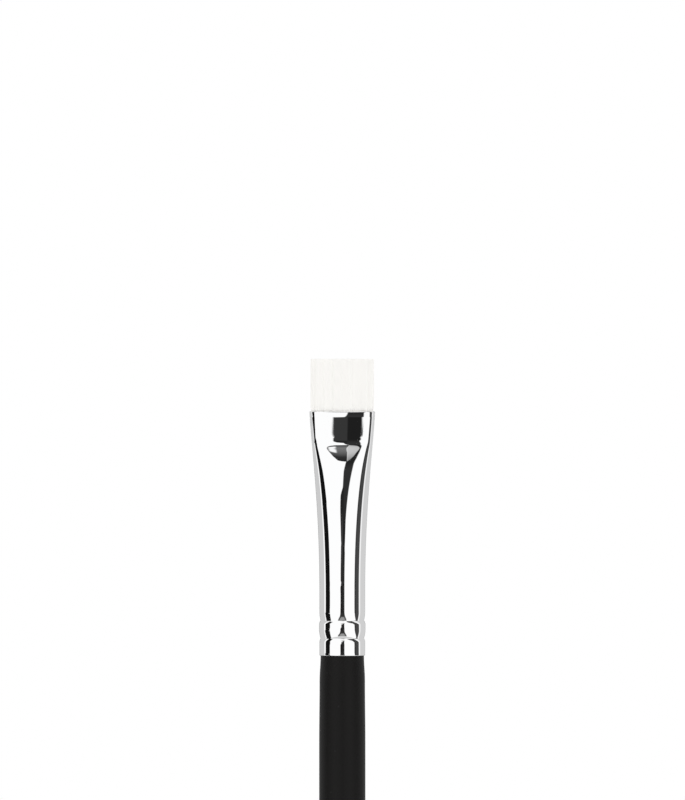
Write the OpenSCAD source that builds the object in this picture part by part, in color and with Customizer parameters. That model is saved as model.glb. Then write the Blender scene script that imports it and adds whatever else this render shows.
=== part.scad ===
// Flat eyeshadow brush: a square-cut synthetic tuft in a pressed tube ferrule, which is
// crimped onto the tenon of a turned and lacquered wooden handle.
// Millimetres. The origin is the butt of the handle, +Z runs up to the tip of the tuft,
// X is the width of the flat tuft and Y its thickness.

/* [Overall] */
// Length from the butt of the handle to the tip of the tuft
overall_len = 170; // [150:1:190]

/* [Tuft] */
// Length of filament that shows above the ferrule
tuft_len = 7.4; // [5:0.2:12]
// How far each side of the tuft fans out between the mouth and the cut end
tuft_spread = 0.16; // [0:0.02:0.4]
// Strands across the width
tuft_columns = 31; // [30:1:34]
// Strands through the thickness
tuft_rows = 10; // [10:1:11]
// Share of the spacing that a strand fills
strand_fill_share = 0.74; // [0.5:0.02:0.84]
// Share of its size that a strand keeps at its tapered tip
strand_tip_share = 0.6; // [0.3:0.05:1]
// Thickness of the bonded slice that the strands stand on
backing_t = 0.8; // [0.5:0.1:1.4]

/* [Ferrule] */
// Outer diameter of the round socket
ferrule_d = 6.4; // [6:0.1:7.4]
// Length from the lower edge to the mouth
ferrule_len = 34.3; // [30:0.1:42]
// Length of the round socket, up to where the tube starts to widen
socket_len = 8.8; // [7.6:0.1:10.4]
// Wall of the drawn tube
ferrule_wall = 0.25; // [0.18:0.01:0.32]
// Outer width of the pressed mouth
mouth_w = 9.2; // [8.4:0.1:10.6]
// Outer thickness of the pressed mouth
mouth_t = 3.2; // [2.8:0.1:3.6]
// Length of the parallel faces below the mouth
flat_len = 4.6; // [3.6:0.2:6.4]
// Length over which the crease under the parallel faces is softened
crease_len = 0.18; // [0.1:0.02:0.4]
// How far each face is drawn in at the lip
lip_draw = 0.15; // [0.06:0.01:0.22]
// Length over which the faces are drawn in
lip_len = 0.8; // [0.6:0.1:1.2]
// Bevel of the lip and of the lower edge
edge_bevel = 0.08; // [0.04:0.01:0.12]

/* [Crimps] */
// Height of the lower crimp's deepest line above the ferrule's lower edge
crimp_low = 2.4; // [1.8:0.1:3]
// Distance from one crimp to the next
crimp_pitch = 2.5; // [2:0.1:2.8]
// Number of crimps
crimp_count = 2; // [1:1:2]
// Length of each groove's long upper flank
crimp_upper_len = 1.2; // [0.8:0.1:1.4]
// Length of each groove's short lower flank
crimp_lower_len = 0.5; // [0.4:0.05:0.6]
// Depth of each rolled groove
crimp_depth = 0.16; // [0.1:0.01:0.24]
// How far the bead between two grooves is pushed out
bead_rise = 0.05; // [0:0.01:0.1]

/* [Handle] */
// Diameter of the straight barrel
barrel_d = 6.5; // [6.3:0.1:7.6]
// Length of the straight barrel
barrel_len = 20; // [12:1:26]
// How far the shoulder stands inside the ferrule's outer face
neck_step = 0.15; // [0.04:0.01:0.2]
// Length of the quick swelling under the ferrule
neck_len = 3.6; // [2.4:0.2:5]
// Length of the slow swelling from the neck to the barrel
swell_len = 8.8; // [6:0.2:12]
// Height of the slow swelling on each side
swell_rise = 0.06; // [0.02:0.01:0.1]
// Diameter of the domed butt
butt_d = 3.8; // [3:0.1:5]
// Length of the tenon in the ferrule
tenon_len = 10; // [9:0.2:11]
// Length of the thinner glue seat at the tip of the tenon
glue_seat_len = 3.2; // [2:0.1:3.4]
// Thickness of the cured glue sleeve on that seat
glue_t = 0.2; // [0.1:0.02:0.3]

/* [Root] */
// Length of the bonded filament butts below the backing slice
root_len = 6.4; // [5.6:0.2:8]
// Length of the resin poured in behind the butts
resin_len = 3; // [2:0.2:4]
// Hollow of the resin's lower face
meniscus = 0.4; // [0.2:0.05:0.8]
// Diameter of the binding thread
thread_d = 0.3; // [0.2:0.02:0.34]
// Distance from one turn of the thread to the next
thread_pitch = 0.78; // [0.76:0.02:0.9]
// Turns of the thread
thread_turns = 3; // [2:1:4]

/* [Hidden] */
$fn = 96;

// Clearances
seat_gap = 0.05;      // between the tenon or the glue and the ferrule's bore
glue_gap = 0.02;      // between the glue and the seat that it is spread on
packing_gap = 0.04;   // between the packed filaments or the resin and the ferrule's wall
thread_gap = 0.1;     // between the binding thread and the waist that it lies in
tenon_chamfer = 0.3;  // at the tenon's tip
seam_step = 0.01;     // by which the flare's first ring is sunk in the wall of the round socket, on all sides
slice_rise = 0.2;     // from the lower end of the parallel faces up to the top of the backing slice

// Shape of the pressed tube: how early the front outline narrows, how fast the faces swell under the
// crease, how straight they are drawn in at the lip and how soon that fades towards the edges, how much
// tighter than a half round the edges of a pressed section are and how that grows with the flattening,
// how sharp the bottom of a groove is, and how far the packed strands' corners are drawn in
flare_skew = 0.65;
swell_power = 4.7;
lip_power = 1.1;
lip_reach = 1.6;
edge_tightness = 0.074;
edge_growth = 2.4;
crimp_power = 1.8;
corner_share = 0.9;

// Steps along the curves
ring_points = 48;
flat_steps = 6;
lip_steps = 2;
swell_steps = 16;
crimp_upper_steps = 7;
crimp_lower_steps = 5;
taper_steps = 22;
neck_steps = 8;
dome_steps = 10;
root_steps = 2;
waist_steps = 4;
resin_steps = 4;
thread_sides = 6;
thread_rings = 24;

ferrule_r = ferrule_d / 2;
bore_r = ferrule_r - ferrule_wall;
tenon_r = bore_r - seat_gap;
ferrule_z = overall_len - tuft_len - ferrule_len;
mouth_z = overall_len - tuft_len;
flare_len = ferrule_len - socket_len;
crease_z = mouth_z - flat_len;
lip_z = mouth_z - lip_len;
flare_z = mouth_z - flare_len;
crimp_z = [for (k = [0:crimp_count - 1]) ferrule_z + crimp_low + k * crimp_pitch];
backing_z = crease_z + slice_rise;
root_z = backing_z - backing_t;
resin_z = root_z - root_len;
barrel_r = barrel_d / 2;
neck_r = ferrule_r - neck_step;
barrel_top_z = ferrule_z - neck_len - swell_len;
barrel_low_z = barrel_top_z - barrel_len;
butt_r = butt_d / 2;
waist_len = thread_turns * thread_pitch + 2 * thread_d;
waist_z = root_z - (root_len + waist_len) / 2;
waist_depth = thread_d + thread_gap + seat_gap;

function clamped(s) = max(0, min(1, s));
function ease(s) = (1 - cos(180 * clamped(s))) / 2;

// The pressed tube's outer half width and half thickness at a height, before the lip is drawn in. Its
// faces are parallel down to the crease, where a steep swell starts that soon levels out.
function half_width(z) =
    ferrule_r + (mouth_w / 2 - ferrule_r) * (1 - ease(pow(clamped((mouth_z - z) / flare_len), flare_skew)));
function half_thickness(z) =
    let (below_crease = crease_len * ln(1 + exp((crease_z - z) / crease_len)),
         swell = 1 - pow(1 - clamped(below_crease / (flare_len - flat_len)), swell_power))
    mouth_t / 2 + (ferrule_r - mouth_t / 2) * swell;

// How far the faces are drawn in at a height
function lip_dip(z) = lip_draw * pow(1 - clamped((mouth_z - z) / lip_len), lip_power);

// A point of a four-arc oval at the angle t, moved in by inset. The wide arcs have radius face,
// the arcs at the edges have radius edge, and facing is the direction that the surface faces there.
function oval_point(a, b, t, inset) =
    let (facing = atan2(sqrt(a / b) * sin(t), cos(t)),
         x = abs(cos(facing)), y = abs(sin(facing)),
         sx = cos(facing) < 0 ? -1 : 1, sy = sin(facing) < 0 ? -1 : 1,
         flattening = 1 - b / a,
         edge = b * (1 - edge_tightness * flattening * (1 + edge_growth * flattening * flattening)),
         round_already = a - b < a / 1000,
         face = round_already ? a : (a * a + b * b - 2 * a * edge) / (2 * (b - edge)),
         turn = round_already ? 90 : atan2(a - edge, face - b))
    round_already ? [(a - inset) * cos(facing), (a - inset) * sin(facing)]
    : atan2(x, y) <= turn ? [sx * (face - inset) * x, sy * (b - face + (face - inset) * y)]
    : [sx * (a - edge + (edge - inset) * x), sy * (edge - inset) * y];

// One ring of points round the tube at a height, with its faces drawn in as far as the lip asks
function oval_ring(z, inset) =
    let (b = half_thickness(z))
    [for (i = [0:ring_points - 1])
        let (p = oval_point(half_width(z), b, 360 * i / ring_points, inset))
        [p.x, p.y - sign(p.y) * lip_dip(z) * min(1, lip_reach * abs(p.y) / b), z]];

// Faces of a skin over rings of equal length; a looped skin joins its last ring to its first
function quad(a, b, c, d) = [[a, b, c], [a, c, d]];
function skin_faces(rings, points, looped) =
    [for (k = [0:rings - (looped ? 1 : 2)], i = [0:points - 1])
        let (next = (i + 1) % points, above = (k + 1) % rings * points)
        each quad(k * points + i, above + i, above + next, k * points + next)];

module looped_skin(rings) {
    polyhedron([for (r = rings) each r], skin_faces(len(rings), len(rings[0]), true));
}

// A skin closed by a fan at each end, whose middle may stand in or out
module capped_skin(rings, low_dome = 0) {
    n = len(rings[0]);
    last = len(rings) * n;
    ends = [rings[0][0].z + low_dome, rings[len(rings) - 1][0].z];
    fans = [for (i = [0:n - 1])
        let (next = (i + 1) % n)
        each [[last, i, next], [last + 1, last - n + next, last - n + i]]];
    polyhedron(concat([for (r = rings) each r], [[0, 0, ends[0]], [0, 0, ends[1]]]),
        concat(skin_faces(len(rings), n, false), fans));
}

// Share of its depth that a rolled groove has at a distance above its deepest line
function groove(above) =
    pow(1 - clamped(above < 0 ? -above / crimp_lower_len : above / crimp_upper_len), crimp_power);

// How far the grooves dip at a height, and the same in the tube, whose bead stands out between them
function crimp_dip(z) = crimp_depth * max([for (c = crimp_z) groove(z - c)]);
function tube_dip(z) =
    let (bead = z > crimp_z[0] && z < crimp_z[len(crimp_z) - 1] ? bead_rise : 0)
    crimp_dip(z) * (1 + bead / crimp_depth) - bead;

// Heights at which the grooves are drawn, from the lowest up
crimp_heights = [for (c = crimp_z) each concat(
    [for (i = [0:crimp_lower_steps - 1]) c - crimp_lower_len * (1 - i / crimp_lower_steps)],
    [for (i = [0:crimp_upper_steps]) c + crimp_upper_len * i / crimp_upper_steps])];

module crimped_socket() {
    outer = [for (z = crimp_heights) [ferrule_r - tube_dip(z), z]];
    inner = [for (z = crimp_heights) [bore_r - tube_dip(z), z]];
    rotate_extrude()
        polygon(concat(
            [[bore_r, ferrule_z], [ferrule_r - edge_bevel, ferrule_z], [ferrule_r, ferrule_z + edge_bevel]],
            outer,
            [[ferrule_r, flare_z], [bore_r, flare_z]],
            [for (i = [len(inner) - 1:-1:0]) inner[i]]));
}

// Heights of the loft's rings, from the round end up to the lip, closer together at the crease and the lip
flare_heights = concat(
    [for (i = [0:swell_steps - 1])
        crease_z - (flare_len - flat_len) * pow(1 - i / swell_steps, 2)],
    [for (i = [0:flat_steps]) crease_z + (flat_len - lip_len) * ease(i / flat_steps)],
    [for (i = [1:lip_steps]) lip_z + (lip_len - edge_bevel) * i / lip_steps]);

module pressed_flare() {
    last = len(flare_heights) - 1;
    looped_skin(concat(
        [oval_ring(flare_z - seam_step, seam_step)],
        [for (i = [1:last]) oval_ring(flare_heights[i], 0)],
        [oval_ring(mouth_z, edge_bevel)],
        [oval_ring(mouth_z, ferrule_wall)],
        [for (i = [last:-1:1]) oval_ring(flare_heights[i], ferrule_wall)],
        [oval_ring(flare_z - seam_step, ferrule_wall - seam_step)]));
}

module ferrule() {
    color([0.82, 0.82, 0.83]) {
        crimped_socket();
        pressed_flare();
    }
}

// Outline of the turned handle: domed butt, long taper, straight barrel, swelling and neck
function taper_r(s) = butt_r + (barrel_r - butt_r) * sin(90 * s);

handle_outline = concat(
    [for (i = [0:dome_steps]) let (t = 90 * i / dome_steps) [butt_r * sin(t), butt_r * (1 - cos(t))]],
    [for (i = [1:taper_steps]) let (s = i / taper_steps)
        [taper_r(s), butt_r + (barrel_low_z - butt_r) * s]],
    [[barrel_r, barrel_top_z]],
    [for (i = [1:neck_steps]) let (s = i / neck_steps)
        [barrel_r - swell_rise * ease(s), barrel_top_z + swell_len * s]],
    [for (i = [1:neck_steps]) let (s = i / neck_steps)
        [barrel_r - swell_rise - (barrel_r - swell_rise - neck_r) * ease(s),
            ferrule_z - neck_len * (1 - s)]]);

// Outline of the tenon: grooves under the crimps, then the thinner glue seat
glue_seat_r = bore_r - seat_gap - glue_t;
glue_seat_z = ferrule_z + tenon_len - glue_seat_len;
tenon_outline = concat(
    [[tenon_r, ferrule_z]],
    [for (z = crimp_heights) if (z < glue_seat_z) [tenon_r - crimp_dip(z), z]],
    [[tenon_r, glue_seat_z], [glue_seat_r, glue_seat_z],
        [glue_seat_r, ferrule_z + tenon_len - tenon_chamfer],
        [glue_seat_r - tenon_chamfer, ferrule_z + tenon_len],
        [0, ferrule_z + tenon_len]]);

module handle() {
    color([0.09, 0.09, 0.09])
        rotate_extrude()
            polygon(concat(handle_outline, tenon_outline));
}

module glue_collar() {
    color([0.85, 0.75, 0.45])
        translate([0, 0, glue_seat_z])
            difference() {
                cylinder(r = glue_seat_r + glue_t, h = glue_seat_len - tenon_chamfer);
                translate([0, 0, -tenon_chamfer])
                    cylinder(r = glue_seat_r + glue_gap, h = glue_seat_len + tenon_chamfer);
            }
}

// Even heights between two levels inside the tube
function levels(low, high, steps) = [for (i = [0:steps]) low + (high - low) * i / steps];

// The bonded butts fill the tube, apart from the waist that the thread lies in
function waist_inset(z) = z > waist_z && z < waist_z + waist_len ? waist_depth : 0;

module root_block() {
    inset = ferrule_wall + packing_gap;
    waist_top = waist_z + waist_len;
    waist_edge = waist_depth / 2;
    heights = concat(
        levels(resin_z, waist_z, root_steps),
        levels(waist_z + waist_edge, waist_top - waist_edge, waist_steps),
        levels(waist_top, root_z, root_steps));
    color([0.93, 0.9, 0.8])
        capped_skin([for (z = heights) oval_ring(z, inset + waist_inset(z))]);
}

// Centre line of the binding thread, counted in turns from its lower end
function thread_point(turn) =
    let (z = waist_z + thread_d + turn * thread_pitch,
         p = oval_point(half_width(z), half_thickness(z), 360 * turn,
             ferrule_wall + packing_gap + waist_depth - thread_gap - thread_d / 2))
    [p.x, p.y, z];

thread_path = [for (i = [0:thread_turns * thread_rings]) thread_point(i / thread_rings)];
thread_clear = min([for (i = [0:len(thread_path) - 1], j = [i + thread_rings / 2:1:len(thread_path) - 1])
    norm(thread_path[i] - thread_path[j])]) - thread_d;
echo(least_gap_between_turns = thread_clear);

module binding_thread() {
    rings = [for (i = [0:len(thread_path) - 1])
        let (facing = 360 * i / thread_rings)
        [for (k = [0:thread_sides - 1])
            let (t = -360 * k / thread_sides)
            thread_path[i] + thread_d / 2 * [cos(t) * cos(facing), cos(t) * sin(facing), sin(t)]]];
    n = thread_sides;
    last = (len(rings) - 1) * n;
    ends = [for (k = [1:n - 2]) each [[0, k, k + 1], [last, last + k + 1, last + k]]];
    color([0.75, 0.7, 0.6])
        polyhedron([for (r = rings) each r], concat(skin_faces(len(rings), n, false), ends));
}

module resin_plug() {
    inset = ferrule_wall + packing_gap;
    color([0.9, 0.78, 0.5])
        capped_skin([for (z = levels(resin_z - resin_len, resin_z, resin_steps)) oval_ring(z, inset)],
            low_dome = meniscus);
}

// Levels of a strand: its foot on the backing, the mouth and the cut tip,
// each as height, half width, half thickness and share of the strand's full size
function packed_half(z) =
    [half_width(z), half_thickness(z) - lip_dip(z)] - (ferrule_wall + packing_gap) * [1, 1];
function strand_level(z, spread, size) = [z, packed_half(min(z, mouth_z)) + spread * [1, 1], size];
strand_levels = [
    strand_level(backing_z, 0, 1),
    strand_level(mouth_z, 0, 1),
    strand_level(overall_len, tuft_spread, strand_tip_share)];

// A point of the square from -1 to 1 drawn onto the tuft's rounded section
function packed_point(u, v, level) =
    [level[1].x * u * sqrt(1 - corner_share / 2 * v * v),
        level[1].y * v * sqrt(1 - corner_share / 2 * u * u), level[0]];

// Edge number i of a row of count strands: even numbers are a strand's near edge, odd its far one
function strand_edge(i, count, size) =
    (2 * floor(i / 2) + 1 + (i % 2 * 2 - 1) * strand_fill_share * size) / count - 1;

module tuft() {
    nu = 2 * tuft_columns;
    nv = 2 * tuft_rows;
    per_level = nu * nv;
    strand_points = [for (l = strand_levels, j = [0:nv - 1], i = [0:nu - 1])
        packed_point(strand_edge(i, tuft_columns, l[2]), strand_edge(j, tuft_rows, l[2]), l)];

    // the loop of grid points round the outermost strands, and the same loop drawn out to the slice's side
    loop = concat(
        [for (i = [0:nu - 2]) [i, 0]], [for (j = [0:nv - 2]) [nu - 1, j]],
        [for (i = [nu - 1:-1:1]) [i, nv - 1]], [for (j = [nv - 1:-1:1]) [0, j]]);
    slice = strand_levels[0];
    function side(i, last, place) = i == 0 || i == last ? sign(place) : place;
    function drawn_out(g) =
        packed_point(side(g.x, nu - 1, strand_edge(g.x, tuft_columns, 1)),
            side(g.y, nv - 1, strand_edge(g.y, tuft_rows, 1)), slice);
    top_rim = [for (g = loop) drawn_out(g)];
    low_rim = [for (p = top_rim) [p.x, p.y, root_z]];
    n = len(loop);
    top0 = len(strand_levels) * per_level;
    low0 = top0 + n;
    middle = low0 + n;

    function at(level, i, j) = level * per_level + j * nu + i;
    sides = [for (l = [0:len(strand_levels) - 2], c = [0:tuft_columns - 1], r = [0:tuft_rows - 1])
        let (k = [[2 * c, 2 * r], [2 * c + 1, 2 * r], [2 * c + 1, 2 * r + 1], [2 * c, 2 * r + 1]])
        for (s = [0:3])
            let (p = k[s], q = k[(s + 1) % 4])
            each quad(at(l, p.x, p.y), at(l + 1, p.x, p.y), at(l + 1, q.x, q.y), at(l, q.x, q.y))];
    top = len(strand_levels) - 1;
    tips = [for (c = [0:tuft_columns - 1], r = [0:tuft_rows - 1])
        each quad(at(top, 2 * c, 2 * r), at(top, 2 * c, 2 * r + 1),
            at(top, 2 * c + 1, 2 * r + 1), at(top, 2 * c + 1, 2 * r))];
    ground = [for (i = [0:nu - 2], j = [0:nv - 2])
        if (i % 2 == 1 || j % 2 == 1)
            each quad(at(0, i, j), at(0, i, j + 1), at(0, i + 1, j + 1), at(0, i + 1, j))];
    rim = [for (k = [0:n - 1])
        let (m = (k + 1) % n, g = loop[k], h = loop[m])
        each concat(
            quad(top0 + k, at(0, g.x, g.y), at(0, h.x, h.y), top0 + m),
            quad(low0 + k, top0 + k, top0 + m, low0 + m),
            [[middle, low0 + k, low0 + m]])];
    color([0.97, 0.97, 0.95])
        polyhedron(concat(strand_points, top_rim, low_rim, [[0, 0, root_z]]),
            concat(sides, tips, ground, rim));
}

handle();
ferrule();
tuft();
root_block();
binding_thread();
resin_plug();
glue_collar();
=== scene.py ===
"""Flat eyeshadow brush, dressed on its packed construction model.

Metres. The origin is the butt of the handle, +Z runs up to the tip of the tuft, X is the width
of the flat tuft and the camera looks along +Y.
"""

import logging
import math
from dataclasses import dataclass
from enum import Enum

import bpy
import numpy as np
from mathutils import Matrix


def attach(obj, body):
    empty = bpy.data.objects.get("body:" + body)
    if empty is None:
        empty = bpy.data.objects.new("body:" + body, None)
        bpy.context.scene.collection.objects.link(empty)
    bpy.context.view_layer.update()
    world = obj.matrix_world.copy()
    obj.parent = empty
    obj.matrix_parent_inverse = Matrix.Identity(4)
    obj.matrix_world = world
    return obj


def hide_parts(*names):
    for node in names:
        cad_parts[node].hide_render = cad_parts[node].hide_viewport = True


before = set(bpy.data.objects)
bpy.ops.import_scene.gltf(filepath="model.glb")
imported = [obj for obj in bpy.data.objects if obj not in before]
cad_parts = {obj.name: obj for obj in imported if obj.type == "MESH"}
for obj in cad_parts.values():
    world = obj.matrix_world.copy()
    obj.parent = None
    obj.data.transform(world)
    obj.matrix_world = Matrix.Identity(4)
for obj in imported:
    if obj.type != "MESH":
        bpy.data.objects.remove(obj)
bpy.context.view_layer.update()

log = logging.getLogger("eyeshadow_brush")

MM = 0.001
BODY = "root"
NOISE_MIDDLE = 0.5
TRIANGLE_HEIGHT = math.sqrt(3) / 2

Line = float | tuple[tuple[float, float], ...]
Color = tuple[float, float, float]
Values = tuple[tuple[str, float], ...]


class Slot(Enum):
    """Material slots of the record."""

    LACQUERED_WOOD = "lacquered_wood"
    PLATED_TUBE = "plated_tube"
    FILAMENT = "filament"
    BONDED_FILAMENT = "bonded_filament"
    THREAD = "thread"
    RESIN = "resin"
    GLUE = "glue"


class Sense(Enum):
    """Which side of an edge a soft step is full on."""

    RISING = 1
    FALLING = -1


class Mixed(Enum):
    """What a Mix node mixes: its data type, its two inputs and its output."""

    NUMBERS = ("FLOAT", 2, 3, 0)
    COLORS = ("RGBA", 6, 7, 2)


# Nodes


class Board:
    """Adds and links the nodes of one node tree."""

    def __init__(self, tree: bpy.types.NodeTree) -> None:
        """Keeps the node tree of a material, a world or a group."""
        self.tree = tree

    def node(self, kind: str, **settings: object) -> bpy.types.Node:
        """Adds one node.

        Args:
            kind: the node's type name without its ShaderNode prefix.
            settings: properties of the node by name.

        Returns:
            The new node.
        """
        made = self.tree.nodes.new("ShaderNode" + kind)
        for name, value in settings.items():
            setattr(made, name, value)
        return made

    def feed(self, socket: bpy.types.NodeSocket, value: object) -> None:
        """Links an output to an input, or sets the input's plain value.

        Args:
            socket: the input.
            value: an output socket, a number or a colour.
        """
        if isinstance(value, bpy.types.NodeSocket):
            self.tree.links.new(value, socket)
        else:
            socket.default_value = rgba(value) if isinstance(value, tuple) else value

    def math(self, operation: str, *values: object, clamp: bool = False) -> bpy.types.NodeSocket:
        """Adds a Math node.

        Args:
            operation: its operation.
            values: one to three inputs.
            clamp: keep the result between 0 and 1.

        Returns:
            The result.
        """
        made = self.node("Math", operation=operation, use_clamp=clamp)
        for socket, value in zip(made.inputs, values):
            self.feed(socket, value)
        return made.outputs[0]

    def mix(self, factor: object, first: object, second: object,
            kind: Mixed = Mixed.NUMBERS) -> bpy.types.NodeSocket:
        """Mixes two numbers or two colours.

        Args:
            factor: 0 for the first and 1 for the second.
            first: the first of them.
            second: the second of them.
            kind: whether they are numbers or colours.

        Returns:
            The mixed number or colour.
        """
        data_type, first_input, second_input, output = kind.value
        made = self.node("Mix", data_type=data_type)
        sockets = (made.inputs[0], made.inputs[first_input], made.inputs[second_input])
        for socket, value in zip(sockets, (factor, first, second)):
            self.feed(socket, value)
        return made.outputs[output]

    def tint(self, factor: object, first: object, second: object) -> bpy.types.NodeSocket:
        """Mixes two colours, as mix does two numbers."""
        return self.mix(factor, first, second, Mixed.COLORS)

    def ramp(self, value: object, start: float, end: float, low: float, high: float,
             curve: str = "LINEAR") -> bpy.types.NodeSocket:
        """Adds a rise that is level outside its start and its end.

        Args:
            value: what the rise follows.
            start: the value where it starts.
            end: the value where it ends.
            low: the result before the start.
            high: the result past the end.
            curve: the form of the rise.

        Returns:
            The risen number.
        """
        made = self.node("MapRange", interpolation_type=curve)
        for socket, given in zip(made.inputs, (value, start, end, low, high)):
            self.feed(socket, given)
        return made.outputs[0]

    def line(self, value: object, line: Line) -> object:
        """Adds a line through points.

        Args:
            value: the place along the line.
            line: a plain number, or pairs of a place and the number there, from the lowest place up.

        Returns:
            The number at that place.
        """
        if isinstance(line, float):
            return line
        result = line[0][1]
        for (start, low), (end, high) in zip(line, line[1:]):
            result = self.math("ADD", result, self.ramp(value, start, end, 0.0, high - low))
        return result

    def step(self, value: object, edge: object, softness: float, sense: Sense) -> bpy.types.NodeSocket:
        """Adds a smooth step across an edge, full above it or below it as the sense says."""
        half = softness / 2 * sense.value
        return self.ramp(self.math("SUBTRACT", value, edge), -half, half, 0.0, 1.0, "SMOOTHSTEP")

    def find(self, kind: str) -> bpy.types.Node:
        """Finds the first node of a type that the tree came with."""
        return next(found for found in self.tree.nodes if found.type == kind)

    def stretched_noise(self, density: tuple[object, ...], **values: object) -> bpy.types.NodeSocket:
        """Adds a noise that is stretched along the object's own axes.

        Args:
            density: how closely the noise lies along X, Y and Z.
            values: the noise's inputs by name.

        Returns:
            The noise, from 0 to 1.
        """
        scale = self.node("CombineXYZ")
        for socket, value in zip(scale.inputs, density):
            self.feed(socket, value)
        stretched = self.node("VectorMath", operation="MULTIPLY")
        self.feed(stretched.inputs[0], self.node("TexCoord").outputs["Object"])
        self.feed(stretched.inputs[1], scale.outputs[0])
        noise = self.node("TexNoise")
        self.feed(noise.inputs["Vector"], stretched.outputs[0])
        for name, value in values.items():
            self.feed(noise.inputs[name], value)
        return noise.outputs[0]

    def bump(self, shader: bpy.types.Node, height: object, distance: float) -> None:
        """Feeds a height into a shader's normal.

        Args:
            shader: the shader.
            height: the height, in shares of the distance.
            distance: the height's unit in metres.
        """
        made = self.node("Bump")
        made.inputs["Distance"].default_value = distance
        self.feed(made.inputs["Height"], height)
        self.feed(shader.inputs["Normal"], made.outputs[0])


def rgba(color: Color) -> tuple[float, float, float, float]:
    """Adds full alpha to a colour."""
    return (*color, 1.0)


# Shared surface effects


@dataclass(frozen=True)
class Effect:
    """A surface effect that several finishes share, as a shader node group."""

    name: str
    inputs: Values
    outputs: tuple[str, ...]

    def group(self) -> bpy.types.NodeTree:
        """Finds the effect's group, or builds it the first time.

        Returns:
            The node group.
        """
        found = bpy.data.node_groups.get(self.name)
        if found:
            return found
        tree = bpy.data.node_groups.new(self.name, "ShaderNodeTree")
        kind = "NodeSocketFloat"
        for name, value in self.inputs:
            tree.interface.new_socket(name, in_out="INPUT", socket_type=kind).default_value = value
        for name in self.outputs:
            tree.interface.new_socket(name, in_out="OUTPUT", socket_type=kind)
        board = Board(tree)
        given = tree.nodes.new("NodeGroupInput")
        result = tree.nodes.new("NodeGroupOutput")
        self.wire(board, given.outputs, result.inputs)
        return tree

    def wire(self, board: Board, given: object, result: object) -> None:
        """Builds the inside of the group."""
        raise NotImplementedError

    def place(self, board: Board, **values: float) -> bpy.types.Node:
        """Places the effect in a material with its own values.

        Args:
            board: the material's nodes.
            values: the inputs that differ from the group's own, by name.

        Returns:
            The group node.
        """
        made = board.node("Group", node_tree=self.group())
        for name, value in values.items():
            made.inputs[name].default_value = value
        return made


@dataclass(frozen=True)
class DrawnLines(Effect):
    """Fine lines along the brush, as drawing leaves on a tube and as grain telegraphs through lacquer."""

    name: str = "drawn_lines"
    inputs: Values = (("Across", 9000.0), ("Along", 120.0), ("Contrast", 0.5))
    outputs: tuple[str, ...] = ("Mask", "Height")

    def wire(self, board: Board, given: object, result: object) -> None:
        """Stretches a noise along Z.

        Args:
            board: the group's nodes.
            given: the group's inputs.
            result: the group's outputs.
        """
        density = (given["Across"], given["Across"], given["Along"])
        noise = board.stretched_noise(density, Scale=1.0, Detail=3.0, Roughness=0.6)
        strong = board.math("MULTIPLY", board.math("SUBTRACT", noise, NOISE_MIDDLE), given["Contrast"])
        doubled = board.math("MULTIPLY", strong, 2.0)
        board.feed(result["Mask"], board.math("ADD", doubled, NOISE_MIDDLE, clamp=True))
        board.feed(result["Height"], strong)


@dataclass(frozen=True)
class Unevenness(Effect):
    """Broad, soft unevenness of a polished or sprayed surface."""

    name: str = "unevenness"
    inputs: Values = (("Scale", 300.0), ("Stretch", 0.3), ("Detail", 1.0))
    outputs: tuple[str, ...] = ("Mask", "Height")

    def wire(self, board: Board, given: object, result: object) -> None:
        """Builds a soft noise that runs out along Z.

        Args:
            board: the group's nodes.
            given: the group's inputs.
            result: the group's outputs.
        """
        density = (1.0, 1.0, given["Stretch"])
        noise = board.stretched_noise(density, Scale=given["Scale"], Detail=given["Detail"])
        board.feed(result["Mask"], noise)
        board.feed(result["Height"], board.math("SUBTRACT", noise, NOISE_MIDDLE))


@dataclass(frozen=True)
class Dust(Effect):
    """A few specks of dust and fluff."""

    name: str = "dust"
    inputs: Values = (("Scale", 2600.0), ("Share", 0.12))
    outputs: tuple[str, ...] = ("Mask",)
    speck_radius: float = 0.16
    speck_softness: float = 0.12

    def wire(self, board: Board, given: object, result: object) -> None:
        """Thresholds cells, so that only a few hold a speck.

        Args:
            board: the group's nodes.
            given: the group's inputs.
            result: the group's outputs.
        """
        place = board.node("TexCoord").outputs["Object"]
        cells = board.node("TexVoronoi", feature="F1")
        board.feed(cells.inputs["Vector"], place)
        board.feed(cells.inputs["Scale"], given["Scale"])
        chosen = board.node("SeparateColor")
        board.feed(chosen.inputs[0], cells.outputs["Color"])
        present = board.math("LESS_THAN", chosen.outputs[0], given["Share"])
        distance = cells.outputs["Distance"]
        near = board.step(distance, self.speck_radius, self.speck_softness, Sense.FALLING)
        board.feed(result["Mask"], board.math("MULTIPLY", present, near))


@dataclass(frozen=True)
class EdgeWear(Effect):
    """Wear along sharp outer edges."""

    name: str = "edge_wear"
    inputs: Values = (("Amount", 0.5), ("Patchiness", 900.0))
    outputs: tuple[str, ...] = ("Mask",)
    sharpness: float = 0.56
    sharpness_softness: float = 0.08
    patch_softness: float = 0.3

    def wire(self, board: Board, given: object, result: object) -> None:
        """Breaks up the sharp edges with noise.

        Args:
            board: the group's nodes.
            given: the group's inputs.
            result: the group's outputs.
        """
        pointed = board.node("NewGeometry").outputs["Pointiness"]
        sharp = board.step(pointed, self.sharpness, self.sharpness_softness, Sense.RISING)
        noise = board.node("TexNoise")
        board.feed(noise.inputs["Vector"], board.node("TexCoord").outputs["Object"])
        board.feed(noise.inputs["Scale"], given["Patchiness"])
        patchy = board.step(noise.outputs[0], NOISE_MIDDLE, self.patch_softness, Sense.RISING)
        worn = board.math("MULTIPLY", sharp, patchy)
        board.feed(result["Mask"], board.math("MULTIPLY", worn, given["Amount"]))


# Finishes


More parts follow.
